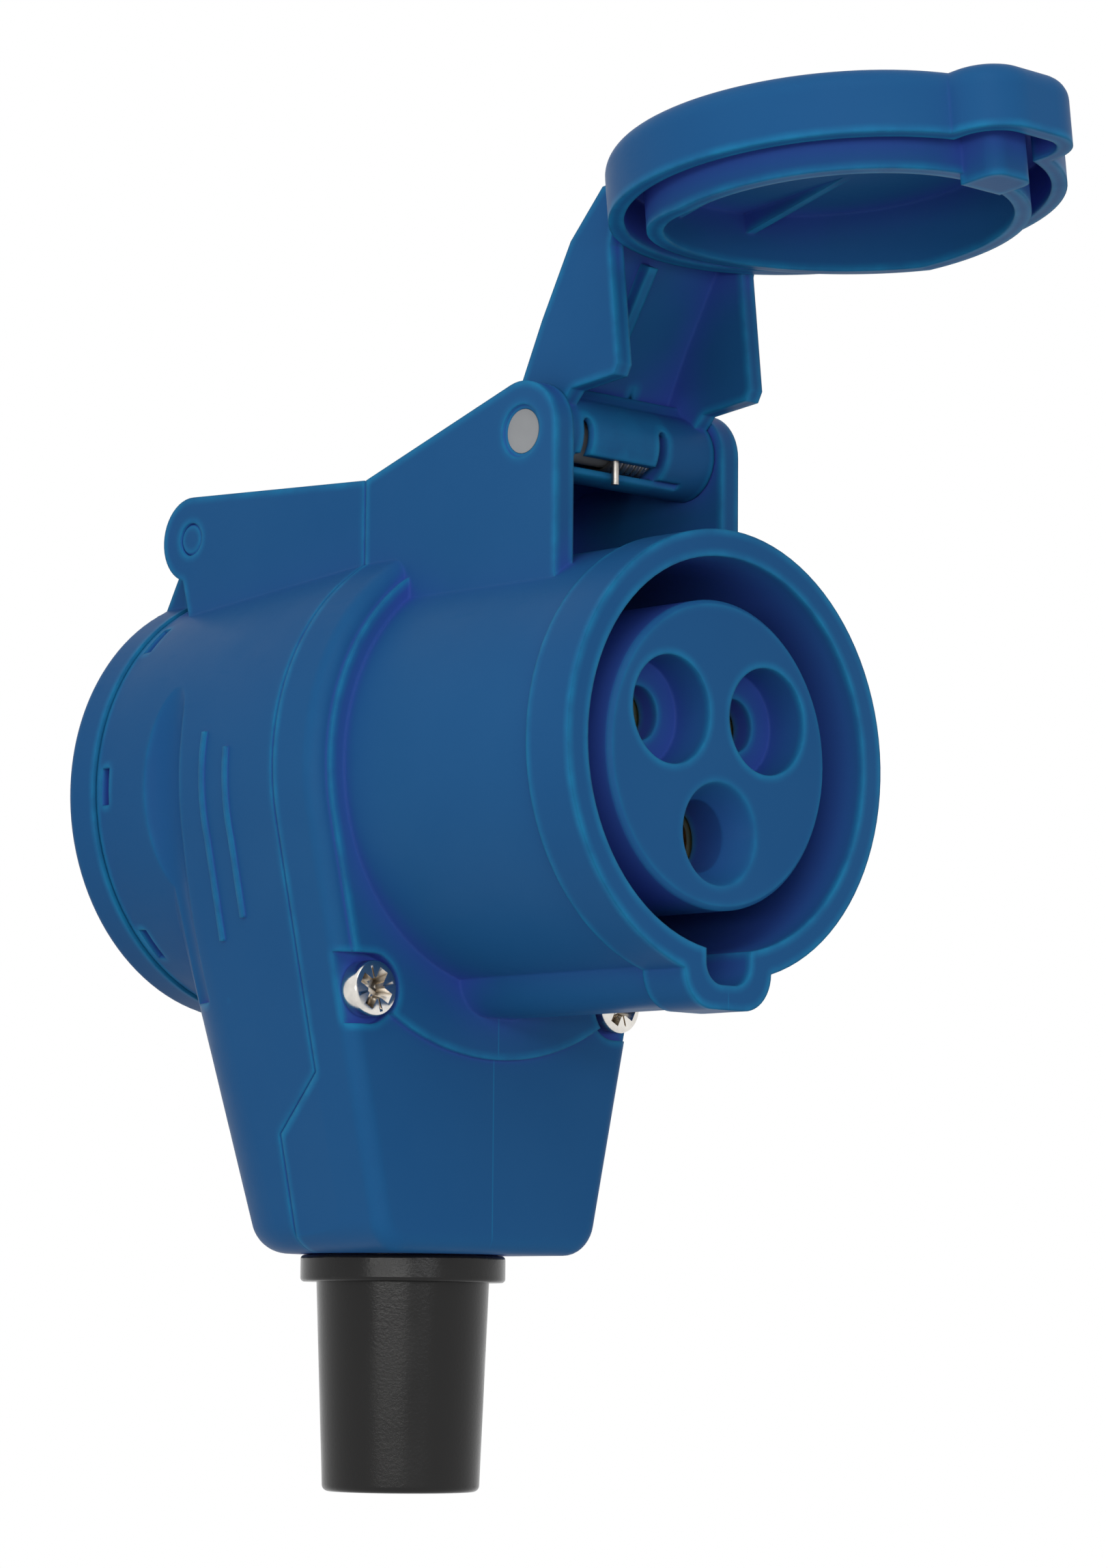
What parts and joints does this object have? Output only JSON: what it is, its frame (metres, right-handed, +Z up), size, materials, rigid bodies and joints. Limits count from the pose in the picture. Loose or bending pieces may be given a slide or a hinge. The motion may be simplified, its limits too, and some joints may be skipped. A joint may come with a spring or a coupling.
{
  "type": "angled pin and sleeve connector",
  "caption": "Angled industrial power connector with a hinged lid over a keyed pin socket, a lidded domestic socket behind it and a rubber cable sleeve",
  "frame": {"origin": "centre of the rear lid's flat face, on which the connector lies", "axes": "+Z up the pin socket's axis, +Y towards both lid hinges, -Y towards the cable sleeve, +X to the right seen from the front"},
  "size_m": [0.059, 0.1577, 0.1355],
  "materials": {
    "housing_blue": "satin",
    "insert_blue": "satin",
    "lid_blue": "satin",
    "pin_grey": "satin",
    "sleeve_black": "matte",
    "clamp_grey": "satin",
    "contact_brass": "satin",
    "spring_steel": "satin",
    "screw_nickel": "polished"
  },
  "bodies": {
    "housing": {"front_housing": "housing_blue", "rear_housing": "housing_blue", "contact_insert": "insert_blue", "socket_insert": "insert_blue", "rear_hinge_pin": "lid_blue", "front_hinge_pin": "pin_grey", "cable_sleeve": "sleeve_black", "cable_clamp": "clamp_grey", "line_contact": "contact_brass", "neutral_contact": "contact_brass", "earth_contact": "contact_brass", "socket_line_contact": "contact_brass", "socket_neutral_contact": "contact_brass", "line_strap": "contact_brass", "neutral_strap": "contact_brass", "earth_link": "contact_brass", "earth_clip": "spring_steel", "front_lid_spring": "spring_steel", "rear_lid_spring": "spring_steel", "clamp_screws": "screw_nickel", "left_housing_screw": "screw_nickel", "right_housing_screw": "screw_nickel"},
    "front_lid_body": {"front_lid": "lid_blue"},
    "rear_lid_body": {"rear_lid": "lid_blue"}
  },
  "joints": [
    {"name": "front_lid_hinge", "type": "hinge", "parent": "housing", "child": "front_lid_body", "pos_m": [0, 0.0381, 0.0688], "axis": [1, 0, 0], "range_deg": [0, 96], "deforming": ["front_lid_spring"]},
    {"name": "rear_lid_hinge", "type": "hinge", "parent": "housing", "child": "rear_lid_body", "pos_m": [0, 0.032, 0.0094], "axis": [1, 0, 0], "range_deg": [0, 95], "deforming": ["rear_lid_spring"]}
  ]
}
